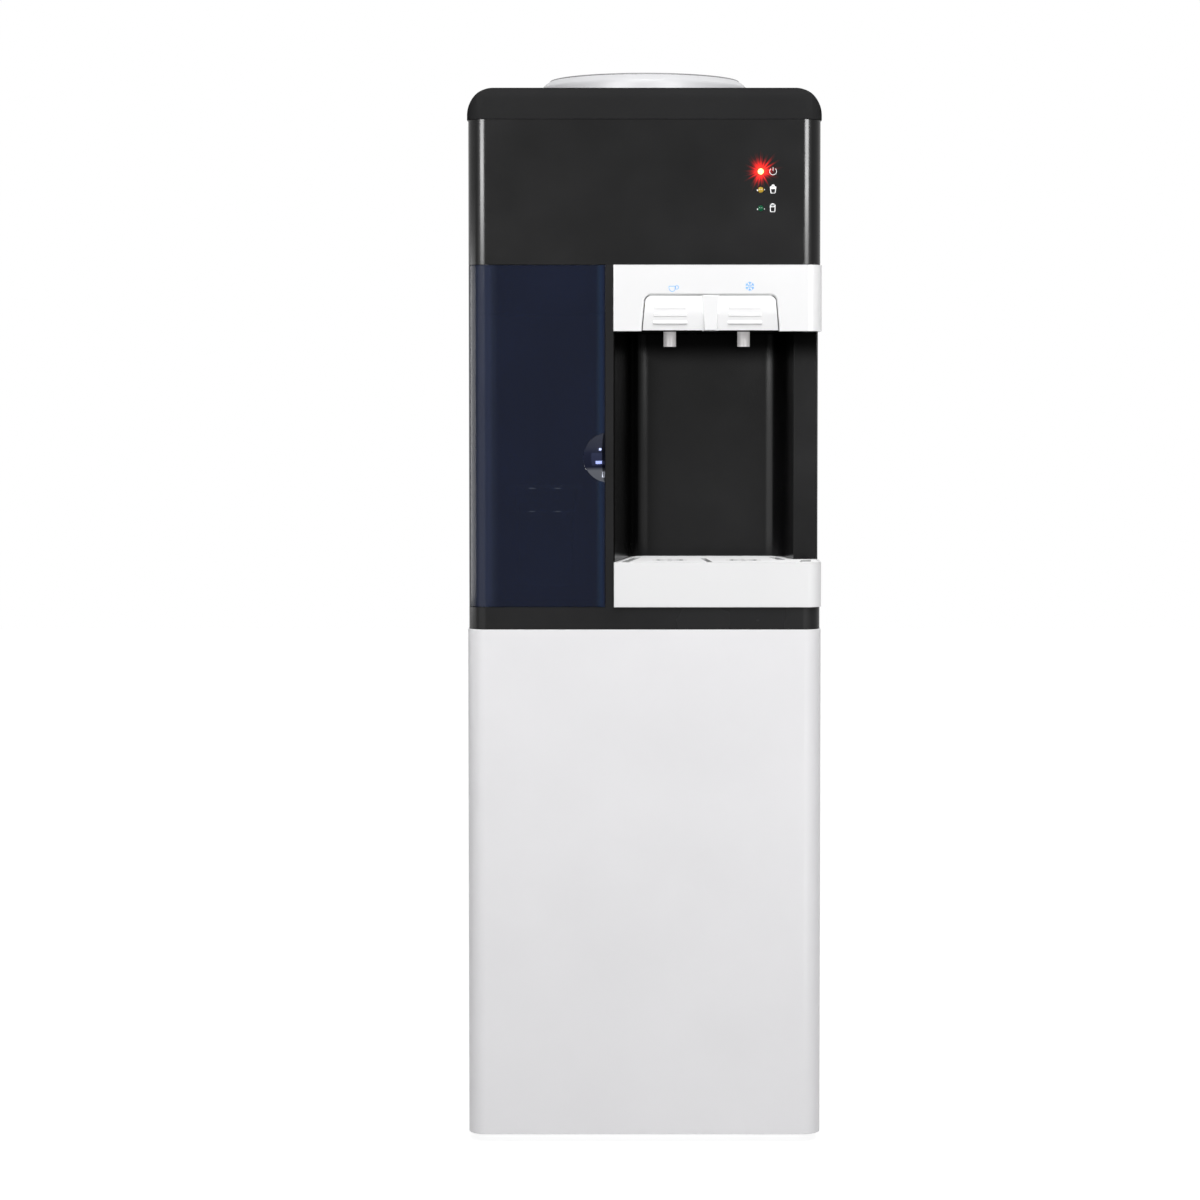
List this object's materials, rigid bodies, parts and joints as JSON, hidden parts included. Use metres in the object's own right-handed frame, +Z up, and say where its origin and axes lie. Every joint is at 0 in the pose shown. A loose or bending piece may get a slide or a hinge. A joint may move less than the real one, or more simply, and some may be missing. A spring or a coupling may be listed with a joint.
{
  "type": "water dispenser",
  "caption": "Free-standing hot and cold water dispenser with a top bottle seat, push taps in an alcove, drip tray, tinted cup cabinet and rear condenser.",
  "frame": {"origin": "on the floor, under the middle of the whole object's bounding box", "axes": "+Z up, +X to the right of someone facing the front, -Y out of the front"},
  "size_m": [0.31, 0.336, 0.9466],
  "materials": {
    "light_sheet": "satin powder coat",
    "black_sheet": "satin powder coat",
    "rear_sheet": "matt powder coat",
    "zinc_sheet": "zinc-plated sheet",
    "steel": "brushed",
    "gloss_black": "polished moulding",
    "matt_black": "fine grain",
    "gloss_white": "polished moulding",
    "matt_white": "fine grain",
    "tinted": "tinted transparent",
    "clear": "clear transparent",
    "grey_plastic": "fine grain",
    "foam": "closed-cell foam",
    "silicone": "soft",
    "rubber_black": "soft",
    "black_steel": "gloss enamel",
    "copper": "drawn copper tube",
    "board": "circuit board",
    "led_red": "diffused lens",
    "led_yellow": "diffused lens",
    "led_green": "diffused lens",
    "seal_red": "soft",
    "seal_blue": "soft",
    "rocker_red": "polished moulding",
    "rocker_green": "polished moulding"
  },
  "bodies": {
    "root": {"base_pan": "zinc_sheet", "feet": "rubber_black", "lower_front_panel": "light_sheet", "lower_side_left": "light_sheet", "lower_side_right": "light_sheet", "upper_side_left": "black_sheet", "upper_side_right": "black_sheet", "rear_panel": "rear_sheet", "compressor_cover": "rear_sheet", "panel_screws": "steel", "front_frame": "gloss_black", "upper_front_panel": "gloss_black", "top_cover": "gloss_black", "alcove_liner": "gloss_black", "cup_niche_liner": "matt_black", "hinge_pins": "steel", "door_magnet": "rubber_black", "cup_holder": "clear", "dispensing_head": "gloss_white", "tap_body_hot": "matt_white", "tap_body_cold": "matt_white", "tap_spring_hot": "steel", "tap_spring_cold": "steel", "led_board": "board", "led_power": "led_red", "led_heating": "led_yellow", "led_cooling": "led_green", "tank_shelf": "zinc_sheet", "cold_tank": "steel", "cold_tank_lid": "matt_white", "evaporator_coil": "copper", "tank_foam": "foam", "mid_shelf": "zinc_sheet", "hot_tank": "steel", "hot_tank_jacket": "foam", "water_hoses": "silicone", "compressor": "black_steel", "compressor_grommets": "rubber_black", "relay_box": "matt_black", "condenser_tube": "black_steel", "condenser_wires": "black_steel", "condenser_brackets": "matt_black", "refrigerant_lines": "copper", "power_inlet": "matt_black", "switch_bezel": "matt_black", "drain_fittings": "grey_plastic"},
    "cup_door": {"cup_door": "tinted"},
    "cup_canister": {"cup_canister": "clear"},
    "tap_paddle_hot": {"tap_paddle_hot": "gloss_white"},
    "tap_paddle_cold": {"tap_paddle_cold": "gloss_white"},
    "tap_plunger_hot": {"tap_plunger_hot": "seal_red"},
    "tap_plunger_cold": {"tap_plunger_cold": "seal_blue"},
    "drip_tray": {"drip_tray": "gloss_white"},
    "drip_grid": {"drip_grid": "gloss_white"},
    "bottle_guard": {"bottle_seat": "matt_white", "water_probe": "matt_white"},
    "switch_hot": {"switch_hot": "rocker_red"},
    "switch_cold": {"switch_cold": "rocker_green"},
    "drain_cap_hot": {"drain_cap_hot": "seal_red"},
    "drain_cap_cold": {"drain_cap_cold": "seal_blue"}
  },
  "joints": [
    {"name": "cup_door_hinge", "type": "hinge", "parent": "root", "child": "cup_door", "pos_m": [-0.138, -0.148, 0.622], "axis": [0, 0, -1], "range_deg": [0, 100]},
    {"name": "cup_canister_lift", "type": "slide", "parent": "root", "child": "cup_canister", "axis": [0, 0, 1], "range_m": [0, 0.09]},
    {"name": "paddle_hot_press", "type": "hinge", "parent": "root", "child": "tap_paddle_hot", "pos_m": [0.0224, -0.157, 0.7405], "axis": [1, 0, 0], "range_deg": [0, 8], "stiffness_Nm_per_rad": 0.5, "springref_deg": -2.86},
    {"name": "paddle_cold_press", "type": "hinge", "parent": "root", "child": "tap_paddle_cold", "pos_m": [0.0876, -0.157, 0.7405], "axis": [1, 0, 0], "range_deg": [0, 8], "stiffness_Nm_per_rad": 0.5, "springref_deg": -2.86},
    {"name": "plunger_hot_lift", "type": "slide", "parent": "root", "child": "tap_plunger_hot", "axis": [0, 0, 1], "range_m": [0, 0.0055], "deforming": ["tap_spring_hot"]},
    {"name": "plunger_cold_lift", "type": "slide", "parent": "root", "child": "tap_plunger_cold", "axis": [0, 0, 1], "range_m": [0, 0.0055], "deforming": ["tap_spring_cold"]},
    {"name": "drip_tray_pull", "type": "slide", "parent": "root", "child": "drip_tray", "axis": [0, -1, 0], "range_m": [0, 0.12]},
    {"name": "drip_grid_lift", "type": "slide", "parent": "drip_tray", "child": "drip_grid", "axis": [0, 0, 1], "range_m": [0, 0.06]},
    {"name": "bottle_guard_lift", "type": "slide", "parent": "root", "child": "bottle_guard", "axis": [0, 0, 1], "range_m": [0, 0.1]},
    {"name": "switch_hot_rock", "type": "hinge", "parent": "root", "child": "switch_hot", "pos_m": [0.088, 0.143, 0.8], "axis": [-1, 0, 0], "range_deg": [0, 16]},
    {"name": "switch_cold_rock", "type": "hinge", "parent": "root", "child": "switch_cold", "pos_m": [0.112, 0.143, 0.8], "axis": [-1, 0, 0], "range_deg": [0, 16]},
    {"name": "drain_cap_hot_pull", "type": "slide", "parent": "root", "child": "drain_cap_hot", "axis": [0, 1, 0], "range_m": [0, 0.025]},
    {"name": "drain_cap_cold_pull", "type": "slide", "parent": "root", "child": "drain_cap_cold", "axis": [0, 1, 0], "range_m": [0, 0.025]}
  ],
  "couplings": [
    {"joint": "plunger_hot_lift", "follows": "paddle_hot_press", "m_per_rad": 0.037},
    {"joint": "plunger_cold_lift", "follows": "paddle_cold_press", "m_per_rad": 0.037}
  ]
}
